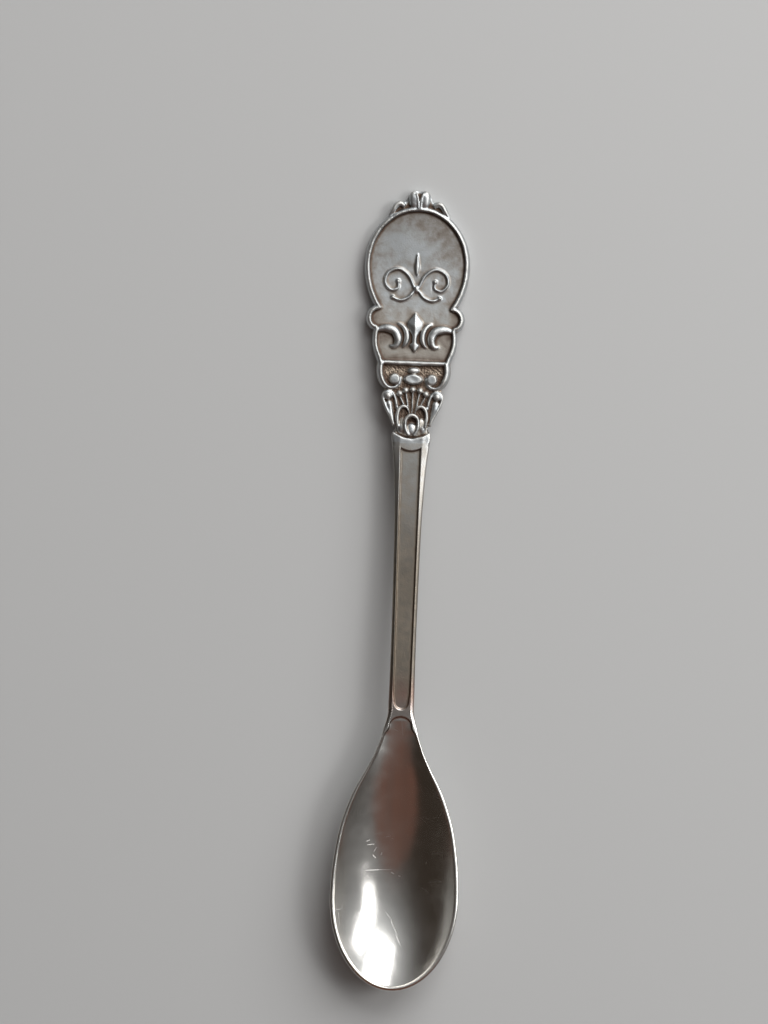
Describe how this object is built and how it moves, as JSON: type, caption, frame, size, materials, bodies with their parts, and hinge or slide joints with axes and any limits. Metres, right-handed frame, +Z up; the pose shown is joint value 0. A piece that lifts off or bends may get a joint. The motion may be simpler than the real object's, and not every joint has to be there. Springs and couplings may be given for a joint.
{
  "type": "spoon",
  "caption": "Small silver coffee spoon struck in one piece, with an egg-shaped bowl, a slim stem with a sunk panel and an oval finial carved in scrollwork relief.",
  "frame": {"origin": "centre of the spoon's footprint, on the table it lies on", "axes": "+Y from the tip of the bowl to the crown of the finial, +Z up out of the open bowl, +X across"},
  "size_m": [0.02, 0.125, 0.0061],
  "materials": {
    "silver": "worn polished silver, darkened in the recesses"
  },
  "bodies": {
    "root": {"spoon": "silver"}
  },
  "joints": []
}
